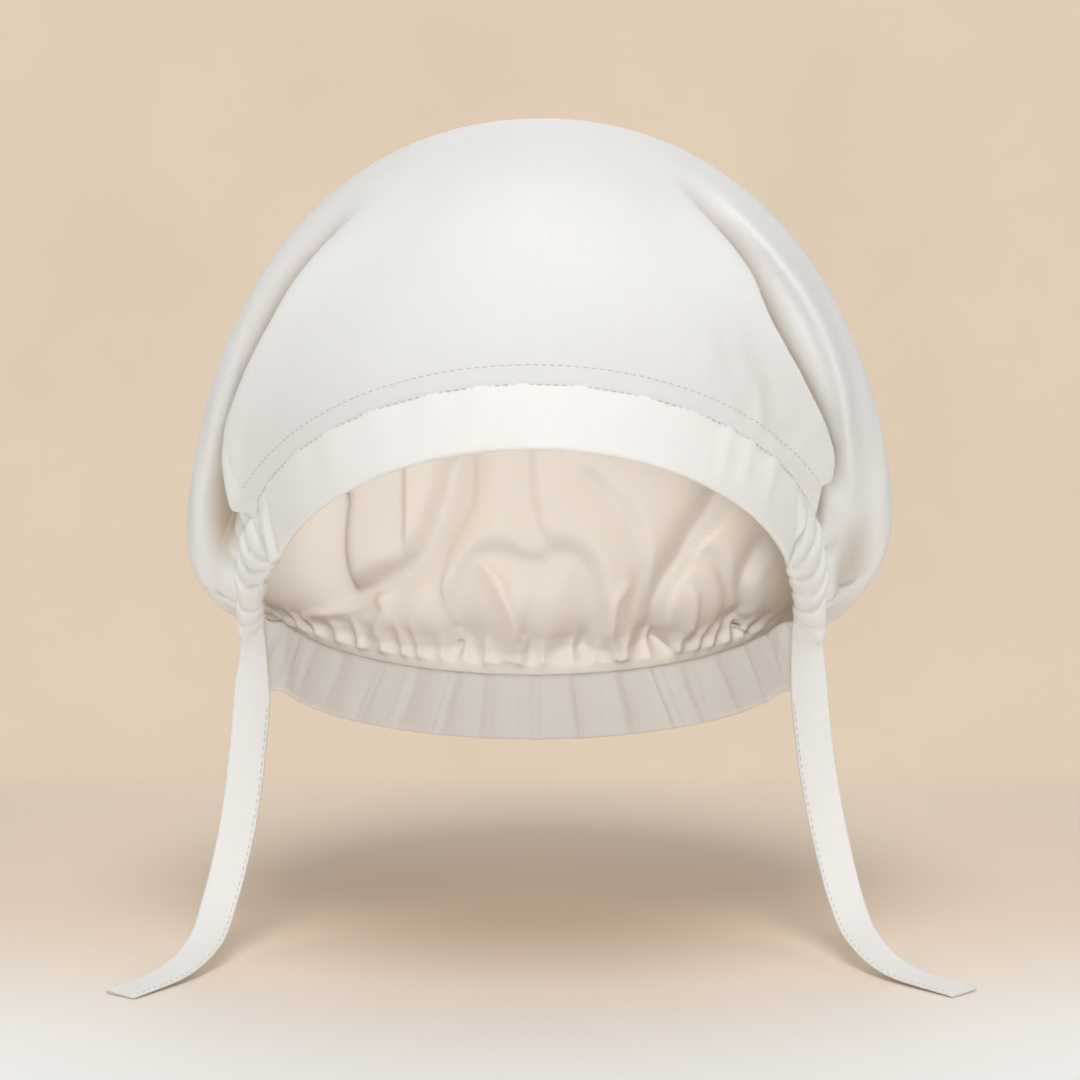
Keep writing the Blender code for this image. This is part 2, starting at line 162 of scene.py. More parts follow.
# Layers of the ruched casings: where each fold lies as shares of the casing's length, on its outer edge, down its
# middle and on its inner edge
LEFT_RUCHES = ((-0.3, -0.32, -0.45), (0.12, 0.1, -0.08), (0.3, 0.29, 0.03), (0.46, 0.48, 0.22), (0.59, 0.64, 0.48),
               (0.79, 0.84, 0.8), (0.9, 0.94, 0.92), (1.06, 1.08, 1.06))
RIGHT_RUCHES = ((-0.35, -0.32, -0.4), (-0.05, 0.06, -0.12), (0.24, 0.28, 0.06), (0.44, 0.54, 0.28),
                (0.62, 0.7, 0.6), (0.74, 0.84, 0.84), (0.92, 0.95, 0.96), (1.1, 1.1, 1.06))

# The casing from the band's end to the tie's mouth, as its solid has it
CASING_ROWS = (
    (0.0, 0.0, 18, 1.0, 0.64),
    (0.3, 0.02, 24, 0.86, 0.9),
    (0.55, 0.04, 38, 0.66, 1.0),
    (0.8, 0.12, 84, 0.46, 1.0),
    (1.0, 0.3, 135, 0.57, 0.86),
)

# How much of a tie's length lies inside its casing, as a share of the rest
TIE_TUCK = 0.05

# Routes of the ties from the casing's mouth: outward, forward and down as shares of TIE_DROP, and turn in degrees
LEFT_TIE_ROUTE = (
    (0.0, 0.0, 0.0, 0),
    (0.024, 0.012, 0.18, 0),
    (0.039, 0.033, 0.35, 2),
    (0.056, 0.072, 0.515, 5),
    (0.081, 0.128, 0.67, 9),
    (0.117, 0.222, 0.825, 14),
    (0.153, 0.35, 0.928, 18),
    (0.235, 0.51, 0.985, 22),
    (0.373, 0.706, 1.0, 24),
)
RIGHT_TIE_ROUTE = (
    (0.0, 0.0, 0.0, 0),
    (0.012, 0.01, 0.165, 0),
    (0.029, 0.032, 0.345, 2),
    (0.056, 0.073, 0.53, 6),
    (0.089, 0.132, 0.695, 11),
    (0.124, 0.225, 0.835, 17),
    (0.165, 0.335, 0.923, 22),
    (0.26, 0.49, 0.985, 27),
    (0.438, 0.685, 1.0, 34),
)

# Each tie: its side, its word, its route and how narrow it is crushed at its casing
TIES = ((-1.0, "left", LEFT_TIE_ROUTE, 0.62), (1.0, "right", RIGHT_TIE_ROUTE, 0.86))

# Drapes of the lining as the opening shows them: across and height of each point of a ridge as shares of
# OPENING_HALF_WIDTH and BROW_RISE, then its height in mm, below zero for a crease, and the widths on the left and
# right of the way it runs in mm
LINING_DRAPES = (
    (((-0.88, 0.48), (-0.9, 0.24), (-0.9, 0.06), (-0.88, -0.09), (-0.85, -0.16), (-0.77, -0.12), (-0.68, -0.04),
      (-0.58, 0.04), (-0.52, 0.11), (-0.48, 0.2), (-0.44, 0.34), (-0.4, 0.5), (-0.37, 0.68)), 9.0, 4.5, 13.0),
    (((-0.59, 0.78), (-0.59, 0.42), (-0.59, 0.15)), 3.0, 1.5, 10.0),
    (((-0.28, 0.72), (-0.28, 0.5), (-0.32, 0.35), (-0.39, 0.2), (-0.42, 0.04), (-0.44, -0.11), (-0.41, -0.3),
      (-0.37, -0.46), (-0.34, -0.55)), 4.0, 2.5, 8.0),
    (((-0.35, -0.42), (-0.36, -0.24), (-0.34, -0.1), (-0.31, 0.0), (-0.26, 0.08), (-0.19, 0.11), (-0.12, 0.11),
      (-0.06, 0.07), (0.03, 0.06), (0.1, 0.11), (0.16, 0.11), (0.22, 0.05), (0.25, -0.03), (0.27, -0.18),
      (0.28, -0.33), (0.26, -0.45), (0.24, -0.55)), 6.0, 5.0, 14.0),
    (((-0.22, 0.03), (-0.16, -0.07), (-0.12, -0.22), (-0.09, -0.35), (-0.08, -0.45),
      (-0.11, -0.58)), -2.5, 2.5, 4.0),
    (((-0.03, 0.78), (-0.03, 0.56), (-0.01, 0.38), (0.03, 0.23), (0.08, 0.15)), 3.5, 3.0, 9.0),
    (((-0.02, -0.45), (-0.01, -0.25), (0.02, -0.12), (0.08, -0.04), (0.15, -0.03), (0.21, -0.07),
      (0.24, -0.16)), 2.5, 3.0, 12.0),
    (((0.3, 0.54), (0.37, 0.44), (0.43, 0.34), (0.46, 0.24), (0.49, 0.13), (0.51, 0.0),
      (0.52, -0.13)), 3.5, 2.5, 12.0),
    (((0.43, -0.13), (0.38, -0.22), (0.36, -0.36), (0.36, -0.48), (0.37, -0.58)), -2.5, 2.5, 2.5),
    (((0.49, -0.03), (0.47, -0.18), (0.46, -0.33), (0.48, -0.45)), 3.5, 5.0, 5.0),
    (((0.87, 0.54), (0.82, 0.39), (0.74, 0.24), (0.69, 0.1), (0.63, -0.04), (0.6, -0.13), (0.58, -0.25),
      (0.58, -0.37), (0.58, -0.55)), 8.0, 2.0, 9.0),
    (((0.7, 0.09), (0.79, 0.08), (0.84, 0.02), (0.88, -0.1), (0.9, -0.25), (0.89, -0.39)), 3.0, 4.0, 3.5),
    (((0.72, -0.18), (0.73, -0.3), (0.72, -0.45)), -2.0, 2.0, 3.0),
    (((1.02, 0.12), (0.98, -0.01), (0.97, -0.11), (0.98, -0.22), (0.98, -0.31), (0.95, -0.39)), 5.0, 2.0, 7.0),
    (((-1.02, -0.37), (-0.9, -0.33), (-0.79, -0.25), (-0.69, -0.19)), -2.0, 3.0, 3.0),
    (((-0.72, -0.19), (-0.7, -0.3), (-0.72, -0.42), (-0.73, -0.51)), -1.5, 2.5, 2.5),
)

# Where the drapes are seen from, and how far from there they were placed
EYE = np.array([0.0025, -1.0, 0.151])
DRAPE_REACH = 1.09

# How deep in mm the crown's creases get the full painted shade, the darker colour painted there, and how strongly
CREASE_SHADE_DEPTH = 7.0
PAINTED_CREASE_SHADE = "#B7A288"
PAINTED_CREASE_STRENGTH = 0.7

# Lamps: place, size in metres, power in watts, and the one piece that it lights, where it lights one alone
LAMPS = {
    "top_light": ((0.0, -0.62, 1.35), 0.8, 10.4, None),
    "front_light": ((0.0, -1.25, -0.01), 0.35, 3.5, None),
    "left_light": ((-1.3, -0.45, 0.55), 0.8, 2.4, None),
    "right_light": ((1.3, -0.45, 0.55), 0.8, 2.8, None),
    "rear_light": ((0.0, 1.35, 0.75), 0.9, 4.0, None),
    "opening_light": ((0.12, -1.15, 0.04), 0.25, 8.6, "lining_satin"),
    "nape_light": ((0.0, -1.25, -0.03), 0.25, 2.3, "elastic_channel"),
}
LAMP_AIM = (0.0, 0.0, 0.03)


def smooth_value(rows, column, at):
    """Reads one column of a table at a value of its first column, on a smooth curve through the rows."""
    keys = np.array([row[0] for row in rows], float)
    values = np.array([row[column] for row in rows], float)
    slopes = np.gradient(values, keys)
    if keys[-1] == 180:
        slopes[0] = 0.0
        slopes[-1] = 0.0
    at = np.clip(at, keys[0], keys[-1])
    lower = np.clip(np.searchsorted(keys, at, side="right") - 1, 0, len(keys) - 2)
    step = keys[lower + 1] - keys[lower]
    share = (at - keys[lower]) / step
    start = (1 + 2 * share) * (1 - share) ** 2 * values[lower] + share * (1 - share) ** 2 * step * slopes[lower]
    end = share ** 2 * (3 - 2 * share) * values[lower + 1] - share ** 2 * (1 - share) * step * slopes[lower + 1]
    return start + end


def ease(value, start, end):
    """Rises smoothly from 0 at start to 1 at end."""
    share = np.clip((value - start) / (end - start), 0.0, 1.0)
    return share * share * (3.0 - 2.0 * share)


def unit(vectors):
    return vectors / np.linalg.norm(vectors, axis=-1, keepdims=True)


def wander(at, pace, start):
    """A slow, even and repeatable wandering between about -1 and 1, for what isn't quite regular."""
    return (np.sin(at * pace + start) + 0.6 * np.sin(at * pace * 2 + 1.7 * start)
            + 0.4 * np.sin(at * pace * 5 + 2.9 * start)) / 1.6


UP = np.array([0.0, 0.0, 1.0])


def outward(angle):
    """The level direction away from the middle at an angle."""
    turn = np.radians(angle)
    return np.stack([np.sin(turn), -np.cos(turn), np.zeros_like(turn)], -1)


def opening_edge(angle, rise):
    """A ring of the opening: rise is its height at the brow, or its drop at the nape."""
    turn = np.radians(angle)
    return np.stack([OPENING_HALF_WIDTH * np.sin(turn), -OPENING_HALF_DEPTH * np.cos(turn), rise * np.cos(turn)], -1)


def band_climb(angle):
    """The way up the band from its free edge to its seam."""
    turn = np.radians(angle)
    return unit(np.stack([BAND_FLARE * np.sin(turn), BAND_LEAN + BROW_LEAN * np.cos(turn),
                          BAND_UPRIGHT * np.ones_like(turn)], -1))


def band_point(angle, share):
    share = np.asarray(share, float)[..., None]
    return opening_edge(angle, BROW_RISE) + BAND_WIDTH * share * band_climb(angle)


def band_face(angle):
    """The way out of the front of the band."""
    along = opening_edge(angle + 0.5, BROW_RISE) - opening_edge(angle - 0.5, BROW_RISE)
    return unit(np.cross(along, band_climb(angle)))


def casing_edges(along):
    """Inner and outer edge of the +X casing, and its plumpness."""
    angle = CASING_START + (CASING_END - CASING_START) * along
    start = opening_edge(np.full_like(along, CASING_START), BROW_RISE)
    inner = opening_edge(angle, BROW_RISE) - smooth_value(CASING_ROWS, 1, along)[..., None] * TIE_WIDTH * UP
    turn = np.radians(smooth_value(CASING_ROWS, 2, along))
    first = band_point(np.full_like(along, CASING_START), 1.0) - start
    lean = (first[..., 1] / BAND_WIDTH) * (1.0 - along)
    spread = np.stack([np.sin(turn), lean, np.cos(turn)], -1)
    outer = inner + smooth_value(CASING_ROWS, 3, along)[..., None] * BAND_WIDTH * unit(spread)
    return inner, outer, smooth_value(CASING_ROWS, 4, along) * CASING_PLUMPNESS


def elastic_point(angle, share):
    """A point of the elastic's middle, from 0 on its upper seam to 1 on its lower edge, for angles 0 to 180."""
    flare = ELASTIC_FLARE * (1.0 - ease(angle, ELASTIC_START, ELASTIC_START + ELASTIC_TURN))
    top = opening_edge(angle, NAPE_DROP) + flare[..., None] * (outward(angle) - 0.5 * UP)
    return top - np.asarray(share, float)[..., None] * ELASTIC_WIDTH * UP


def seam_line(angle):
    """The crown's lower edge for angles 0 to 180: on the band, then the casing, then the elastic."""
    on_band = band_point(np.minimum(angle, CASING_START), 1.0)
    along = CROWN_ON_CASING * np.clip((angle - CASING_START) / (CASING_END - CASING_START), 0.0, 1.0)
    on_casing = casing_edges(along)[1]
    on_nape = elastic_point(np.maximum(angle, ELASTIC_START), 0.0)
    front = np.where((angle < CASING_START)[..., None], on_band, on_casing)
    line = front + ease(angle, CASING_END, NAPE_START)[..., None] * (on_nape - front)
    return line + MILLIMETRE * outward(angle)


def hem_shift(angle):
    """From the crown's lower edge into the band, the casing or the elastic, where its cloth ends."""
    turn = np.abs(angle)
    on_band = band_point(np.minimum(turn, CASING_START), 0.92)
    along = CROWN_ON_CASING * np.clip((turn - CASING_START) / (CASING_END - CASING_START), 0.0, 1.0)
    inner, outer, _ = casing_edges(along)
    on_casing = outer + 0.30 * (inner - outer)
    on_nape = elastic_point(np.maximum(turn, ELASTIC_START), 0.06)
    line = on_band + ease(turn, CASING_START - 1.0, CASING_START + 2.0)[..., None] * (on_casing - on_band)
    line = line + ease(turn, CASING_END, NAPE_START)[..., None] * (on_nape - line)
    shift = line - seam_line(turn)
    shift[..., 0] *= np.sign(angle + 1e-9)
    return shift


def crown_base(angle, rise):
    """The crown's plain rounded form, before its folds."""
    turn = np.abs(angle)
    start = seam_line(turn)
    start[..., 0] *= np.sign(angle + 1e-9)
    lift = np.radians(smooth_value(MERIDIANS, 1, turn))[..., None]
    away = outward(angle)
    top = np.array([0.0, CROWN_SET_BACK, CROWN_HEIGHT])
    low_handle = start + smooth_value(MERIDIANS, 2, turn)[..., None] * CROWN_BILLOW * (
        np.cos(lift) * away + np.sin(lift) * UP)
    top_handle = top + smooth_value(MERIDIANS, 3, turn)[..., None] * CROWN_SPAN * away
    share = rise[..., None]
    point = ((1 - share) ** 3 * start + 3 * share * (1 - share) ** 2 * low_handle
             + 3 * share ** 2 * (1 - share) * top_handle + share ** 3 * top)
    point[..., 0] += CROWN_LEAN * ease(rise, 0.0, LEAN_END)
    return point


def crown_normal(angle, rise):
    """The direction out of the crown's plain form."""
    step = 0.01
    low = np.clip(rise - step, 0.0, 0.97)
    around = crown_base(angle + 0.5, low + step) - crown_base(angle - 0.5, low + step)
    upward = crown_base(angle, low + 2 * step) - crown_base(angle, low)
    return unit(np.cross(around, upward))


def column_angle(across, rise):
    """The angle of a column of the crown's cloth: the columns run along its main folds."""
    lines = [smooth_value(list(zip(COLUMN_RISES, row[1:])), 1, rise) for row in COLUMN_LINES]
    shares = [row[0] for row in COLUMN_LINES]
    angle = lines[0].copy()
    for low, high, start, end in zip(lines[:-1], lines[1:], shares[:-1], shares[1:]):
        angle += (high - low) * np.clip((across - start) / (end - start), 0.0, 1.0)
    return angle


def fold_height(angle, rise, girth):
    """How far the main folds lift the crown and lean sideways; girth is the metres of cloth in one degree."""
    height = np.zeros_like(angle)
    lean = np.zeros_like(angle)
    for line, beside, lift, over, before, after, start, full, fade, end in CROWN_FOLDS:
        middle = smooth_value(FOLD_LINES[line], 1, rise)
        across = (angle - middle) * girth - beside * MILLIMETRE
        width = np.where(across < 0.0, before, after) * MILLIMETRE
        length = ease(rise, start, full) * (1.0 - ease(rise, fade, end))
        swell = MILLIMETRE * length * np.exp(-(across / width) ** 2)
        height += lift * swell
        lean += over * swell
    return height, lean


def gather_height(angle, rise, girth):
    """The small gathers along the crown's lower seams: fine at the seam, then a few broad ones higher up."""
    turn = np.abs(angle)
    height = np.zeros_like(angle)
    for side, gathers in ((-1.0, LEFT_GATHERS), (1.0, RIGHT_GATHERS)):
        for middle, depth, width, end in gathers:
            across = (side * angle - middle) * girth / (width * MILLIMETRE * (1.0 + 14.0 * rise))
            length = ease(rise, 0.0, 0.012) * (1.0 - ease(rise, 0.02, end))
            height += depth * length * (0.35 * np.exp(-(across / 2.6) ** 2) - np.exp(-across ** 2))
    nape = ease(turn, NAPE_START - 6.0, NAPE_START + 14.0)
    run = np.radians(angle)
    fine = np.cos(64.0 * run + 1.6 * wander(run, 3, 0.4))
    height += 1.3 * nape * fine * ease(rise, 0.0, 0.02) * (1.0 - ease(rise, 0.03, 0.16))
    broad = np.cos(22.0 * run + 1.4 * wander(run, 2, 2.1))
    height += 2.4 * nape * broad * ease(rise, 0.02, 0.12) * (1.0 - ease(rise, 0.14, 0.52))
    brow = 1.0 - ease(turn, 62.0, 72.0)
    pucker = np.cos(46.0 * run + 2.0 * wander(run, 4, 3.0)) * (0.25 + 0.75 * ease(angle, 20.0, 50.0))
    height += 0.35 * brow * pucker * ease(rise, 0.0, 0.03) * (1.0 - ease(rise, 0.06, 0.22))
    return height * MILLIMETRE


def girth_of(base):
    """Metres of cloth in one degree of the ring through each point."""
    return np.radians(1.0) * np.linalg.norm(base[..., :2], axis=-1)


def crown_point(angle, rise):
    girth = girth_of(crown_base(angle, rise))
    height, lean = fold_height(angle, rise, girth)
    height = height + gather_height(angle, rise, girth)
    angle = angle + lean / np.maximum(girth, MILLIMETRE)
    slow = 0.5 * MILLIMETRE * wander(np.radians(angle), 3, 5.0) * np.sin(np.pi * rise) ** 2
    point = crown_base(angle, rise) + (height + slow)[..., None] * crown_normal(angle, rise)
    return point + (1.0 - ease(rise, 0.0, 0.012))[..., None] * hem_shift(angle)


def smooth_path(points):
    """A close line of points on a smooth curve through a few."""
    rows = [(at, *point) for at, point in enumerate(points)]
    at = np.linspace(0.0, len(points) - 1.0, 6 * (len(points) - 1) + 1)
    return np.stack([smooth_value(rows, 1, at), smooth_value(rows, 2, at)], -1)


def drape_height(point):
    """How far the lining's drapes stand in from it."""
    height = np.zeros(point.shape[:-1])
    nearer = DRAPE_REACH / (point[..., 1] - EYE[1])
    place = EYE[[0, 2]] + nearer[..., None] * (point[..., (0, 2)] - EYE[[0, 2]])
    for points, lift, left, right in LINING_DRAPES:
        ridge = smooth_path(points) * (OPENING_HALF_WIDTH, BROW_RISE)
        nearest = np.full(height.shape, np.inf)
        side = np.zeros(height.shape)
        for start, end in zip(ridge[:-1], ridge[1:]):
            run = end - start
            share = np.clip(((place - start) @ run) / (run @ run), 0.0, 1.0)
            apart = place - start - share[..., None] * run
            distance = np.linalg.norm(apart, axis=-1)
            turned = run[0] * apart[..., 1] - run[1] * apart[..., 0]
            side = np.where(distance < nearest, turned, side)
            nearest = np.minimum(nearest, distance)
        width = np.where(side > 0.0, left, right) * MILLIMETRE
        drape = abs(lift) * MILLIMETRE * np.exp(-(nearest / width) ** 1.8)
        if lift > 0.0:
            height = (np.maximum(height, 0.0) ** 2.5 + drape ** 2.5) ** 0.4 + np.minimum(height, 0.0)
        else:
            height = height - drape
    return height


def lining_point(angle, rise):
    """The lining follows the crown's inward folds, hangs a little slack and has drapes of its own."""
    base = crown_base(angle, rise)
    inward_fold = np.minimum(fold_height(angle, rise, girth_of(base))[0], 0.0)
    turn = np.abs(angle)
    run = np.radians(angle)
    away = outward(angle)
    normal = crown_normal(angle, rise)
    sewn = ease(turn, NAPE_START - 4.0, NAPE_START + 6.0)
    ripple = np.abs(np.cos(30.0 * run + 1.2 * wander(run, 5, 0.9))) ** 0.8
    reach = 0.09 + 0.03 * wander(run, 7, 1.3)
    shirring = sewn * ease(rise, 0.003, 0.03) * (1.0 - ease(rise, 0.04, reach + 0.06))
    puff = sewn * (5.0 * ease(rise, 0.0, 0.06) * (1.0 - ease(rise, 0.07, 0.34)) + 2.8 * shirring * (ripple - 0.7))
    back = ease(turn, 98.0, 112.0) * ease(rise, 0.005, 0.04) * (1.0 - ease(rise, 0.70, 0.90))
    slack = (2.2 + 3.8 * ease(rise, 0.0, 0.10)) * ease(rise, 0.0, 0.012)
    point = base + (1.15 * inward_fold - slack * MILLIMETRE)[..., None] * normal
    point = point - (back * drape_height(base))[..., None] * unit(normal + 0.8 * away)
    point = point - (puff * MILLIMETRE)[..., None] * unit(away - 0.35 * UP)
    return point + (1.0 - ease(rise, 0.0, 0.012))[..., None] * (hem_shift(angle) - 0.5 * MILLIMETRE * away)


def linear(code):
    """An sRGB hex colour as linear red, green and blue."""
    values = [int(code[at:at + 2], 16) / 255 for at in (1, 3, 5)]
    return tuple(value / 12.92 if value <= 0.04045 else ((value + 0.055) / 1.055) ** 2.4 for value in values)


def add_node(tree, kind, settings=None, **links):
    """Adds a node, sets its properties, and sets or links its inputs by name or number."""
    node = tree.nodes.new(kind)
    for name, value in (settings or {}).items():
        setattr(node, name, value)
    for name, value in links.items():
        key = int(name[1:]) if name[0] == "i" and name[1:].isdigit() else name.replace("_", " ")
        if isinstance(value, bpy.types.NodeSocket):
            tree.links.new(value, node.inputs[key])
        else:
            node.inputs[key].default_value = value
    return node


def mix(tree, factor, first, second):
    """Mixes two colours, each a hex code or a node's output."""
    node = add_node(tree, "ShaderNodeMix", {"data_type": "RGBA"}, Factor=factor)
    for key, colour in ((6, first), (7, second)):
        if isinstance(colour, str):
            node.inputs[key].default_value = (*linear(colour), 1.0)
        else:
            tree.links.new(colour, node.inputs[key])
    return node.outputs[2]


def span(tree, value, start, end, first=0.0, last=1.0):
    """Goes smoothly from first to last while the value goes from start to end."""
    return add_node(tree, "ShaderNodeMapRange", {"interpolation_type": "SMOOTHSTEP"}, Value=value, From_Min=start,
                    From_Max=end, To_Min=first, To_Max=last).outputs["Result"]


def cloth_material(name, colour, shade, roughness, sheen, thread_mm, weave_depth, slub_depth, anisotropy=0.0):
    """A woven cloth: diagonal floats of its threads, slow variation of its dye, slubs, and painted shade in its
    creases.
    """
    material = bpy.data.materials.new(name)
    material.use_nodes = True
    tree = material.node_tree
    shader = tree.nodes["Principled BSDF"]
    cloth = add_node(tree, "ShaderNodeUVMap", {"uv_map": "cloth"}).outputs["UV"]
    turned = add_node(tree, "ShaderNodeMapping", Vector=cloth, Rotation=(0.0, 0.0, math.radians(38.0)))
    lines = add_node(tree, "ShaderNodeTexWave", {"wave_type": "BANDS", "bands_direction": "X"},
                     Vector=turned.outputs["Vector"], Scale=math.pi / (10.0 * thread_mm), Distortion=0.6,
                     Detail=1.0)
    slubs = add_node(tree, "ShaderNodeMapping", Vector=cloth, Scale=(0.06, 0.9, 1.0))
    slub = add_node(tree, "ShaderNodeTexNoise", Vector=slubs.outputs["Vector"], Scale=1.0, Detail=3.0)
    patch = add_node(tree, "ShaderNodeTexNoise", Vector=cloth, Scale=0.03, Detail=2.0)
    dye = mix(tree, patch.outputs["Fac"], colour, shade)
    # Painted shade: the crease attribute mixes the dye towards a darker tint in the folds.
    crease = add_node(tree, "ShaderNodeAttribute", {"attribute_name": "crease"}).outputs["Fac"]
    painted_crease_amount = add_node(tree, "ShaderNodeMath", {"operation": "MULTIPLY"}, i0=crease, i1=PAINTED_CREASE_STRENGTH)
    tree.links.new(mix(tree, painted_crease_amount.outputs["Value"], dye, PAINTED_CREASE_SHADE), shader.inputs["Base Color"])
    for key, value in (("Roughness", roughness), ("IOR", 1.5), ("Sheen Weight", sheen), ("Sheen Roughness", 0.4),
                       ("Anisotropic", anisotropy), ("Subsurface Weight", 0.3),
                       ("Subsurface Radius", (1.0, 0.94, 0.86)), ("Subsurface Scale", 1.5 * MILLIMETRE)):
        shader.inputs[key].default_value = value
    weave = add_node(tree, "ShaderNodeBump", Height=lines.outputs["Fac"], Strength=0.35,
                     Distance=weave_depth * MILLIMETRE)
    cross = add_node(tree, "ShaderNodeBump", Height=slub.outputs["Fac"], Strength=0.5,
                     Distance=slub_depth * MILLIMETRE, Normal=weave.outputs["Normal"])
    tree.links.new(cross.outputs["Normal"], shader.inputs["Normal"])
    return material


def plain_material(name, colour, roughness):
    material = bpy.data.materials.new(name)
    material.use_nodes = True
    shader = material.node_tree.nodes["Principled BSDF"]
    shader.inputs["Base Color"].default_value = (*linear(colour), 1.0)
    shader.inputs["Roughness"].default_value = roughness
    return material


def finish_of(kind):
    """The finishes of the cap, each made once."""
    found = bpy.data.materials.get(kind)
    if found:
        return found
    finish = bpy.context.scene.cap_finish
    if kind == "silk_sateen":
        # Silk sateen, matt side out: a soft white cloth with fine diagonal floats and hardly any gloss
        return cloth_material(kind, finish.sateen, finish.sateen_shade, 0.62, 0.25, 0.55, 0.10, 0.05)
    if kind == "silk_satin":
        # Silk satin, glossy side in: long smooth floats that mirror the light softly along the folds
        return cloth_material(kind, finish.satin, finish.satin_shade, 0.27, 0.15, 0.40, 0.01, 0.03, 0.35)
    # Spun polyester sewing thread, a shade darker than the cloth
    return plain_material(kind, finish.thread, 0.7)


def deselect():
    if bpy.context.object and bpy.context.object.mode != "OBJECT":
        bpy.ops.object.mode_set(mode="OBJECT")
    bpy.ops.object.select_all(action="DESELECT")


def cloth_map(mesh, place):
    """Writes the UV map cloth, in millimetres of cloth, from a value for each vertex."""
    layer = mesh.uv_layers.get("cloth") or mesh.uv_layers.new(name="cloth")
    corners = np.empty(len(mesh.loops), int)
    mesh.loops.foreach_get("vertex_index", corners)
    layer.data.foreach_set("uv", np.ascontiguousarray(place[corners] / MILLIMETRE, np.float32).ravel())


def close_ends(piece):
    """Fills the open ends of a tube and turns its faces outward."""
    deselect()
    bpy.context.view_layer.objects.active = piece
    piece.select_set(True)
    bpy.ops.object.mode_set(mode="EDIT")
    bpy.ops.mesh.select_all(action="SELECT")
    bpy.ops.mesh.fill_holes(sides=0)
    bpy.ops.mesh.select_all(action="SELECT")
    bpy.ops.mesh.normals_make_consistent(inside=False)
    bpy.ops.object.mode_set(mode="OBJECT")


def make_sheet(name, columns, rows, form, lay, wall=None, shade=None):
    """A grid whose points are moved onto the cloth's form, with its weave laid on it.

    It gets a wall of that thickness, or is a tube whose ends are closed. form, lay and shade take the shares across
    and up of each point, from 0 to 1. shade is how deep in a crease it is, kept as the crease attribute that the
    material turns into painted shade.
    """
    deselect()
    bpy.ops.mesh.primitive_grid_add(x_subdivisions=columns, y_subdivisions=rows, size=1.0)
    piece = bpy.context.object
    piece.name = name
    mesh = piece.data
    mesh.name = name
    flat = np.empty(3 * len(mesh.vertices))
    mesh.vertices.foreach_get("co", flat)
    flat = flat.reshape(-1, 3) + 0.5
    across = np.clip(flat[:, 0], 0.0, 1.0)
    up = np.clip(flat[:, 1], 0.0, 1.0)
    while mesh.uv_layers:
        mesh.uv_layers.remove(mesh.uv_layers[0])
    cloth_map(mesh, lay(across, up))
    mesh.vertices.foreach_set("co", form(across, up).astype(np.float32).ravel())
    # The crease attribute holds how much painted shade the material lays on each point.
    if shade:
        depth = np.ascontiguousarray(np.clip(shade(across, up), 0.0, 1.0), np.float32)
        mesh.attributes.new("crease", "FLOAT", "POINT").data.foreach_set("value", depth)
    mesh.update()
    bpy.ops.object.mode_set(mode="EDIT")
    bpy.ops.mesh.select_all(action="SELECT")
    bpy.ops.mesh.remove_doubles(threshold=0.01 * MILLIMETRE)
    bpy.ops.object.mode_set(mode="OBJECT")
    if wall:
        solid = piece.modifiers.new("Wall", "SOLIDIFY")
        solid.thickness = wall
        solid.offset = 0.0
        bpy.ops.object.modifier_apply(modifier="Wall")
    bpy.ops.object.shade_smooth()
    if not wall:
        close_ends(piece)
    return piece


def sew_in(piece, node, finish):
    """Gives a piece its finish and puts it in place of its solid."""
    piece.data.materials.clear()
    piece.data.materials.append(finish_of(finish))
    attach(piece, "root")
    if node:
        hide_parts(node)


def flat_profile(share, half_width, half_thickness):
    """A flat bar with round edges, followed all the way round: how far across it and how far out of it."""
    straight = 2 * (half_width - half_thickness)
    round_end = math.pi * half_thickness
    run = share * 2 * (straight + round_end)
    inner = run >= straight + round_end
    side = np.where(inner, -1.0, 1.0)
    run = np.where(inner, run - straight - round_end, run)
    turn = np.maximum(run - straight, 0.0) / half_thickness
    across = side * (straight / 2 - np.minimum(run, straight) - half_thickness * np.sin(turn))
    return across, side * half_thickness * np.cos(turn)


def dome_lay(angle, rise):
    """The weave of the crown as one cut of cloth laid over it: metres across and along from the crown's middle."""
    middle = np.array([0.0, 0.0, 0.05])
    pole = unit(np.array([0.0, -0.35, 0.94]))
    side = np.array([1.0, 0.0, 0.0])
    along = np.cross(pole, side)
    way = unit(crown_base(angle, rise) - middle)
    far = np.arccos(np.clip(way @ pole, -1.0, 1.0))
    level = np.stack([way @ side, way @ along], -1)
    return 0.125 * far[:, None] * unit(level + 1e-9)


def size_of(name, description, default):
    return bpy.props.FloatProperty(name=name, description=description, default=default, unit="LENGTH")


def colour_of(name, description, default):
    return bpy.props.StringProperty(name=name, description=description, default=default)


class CapSizes(bpy.types.PropertyGroup):
    """Sizes of the sewn cloth that a user would change."""
    cloth_wall: size_of("Cloth", "Thickness of the outer cloth", 0.0006)
    lining_wall: size_of("Lining", "Thickness of the lining", 0.0004)
    band_wall: size_of("Band", "Thickness of the folded front band", 0.0022)
    elastic_wall: size_of("Elastic", "Thickness of the pleated elastic channel", 0.0022)
    tie_wall: size_of("Tie", "Thickness of the flat ties", 0.0010)
    stitch_pitch: size_of("Stitch pitch", "From one stitch to the next", 0.0026)
    stitch_length: size_of("Stitch", "Length of thread that shows in one stitch", 0.0018)
    thread: size_of("Thread", "Thickness of the sewing thread", 0.00034)
    row_gap: size_of("Row gap", "Between the two rows of stitches over the brow", 0.0057)


class CapFinish(bpy.types.PropertyGroup):
    """Colours of the cloth and thread, as sRGB hex codes."""
    sateen: colour_of("Sateen", "Lit colour of the outer cloth", "#F2F0ED")
    sateen_shade: colour_of("Sateen shade", "Its slightly deeper dye", "#EFECE8")
    satin: colour_of("Satin", "Lit colour of the lining", "#FDFAF4")
    satin_shade: colour_of("Satin shade", "Its slightly deeper dye", "#FAF5ED")
    thread: colour_of("Thread", "Colour of the sewing thread", "#CBC4B9")


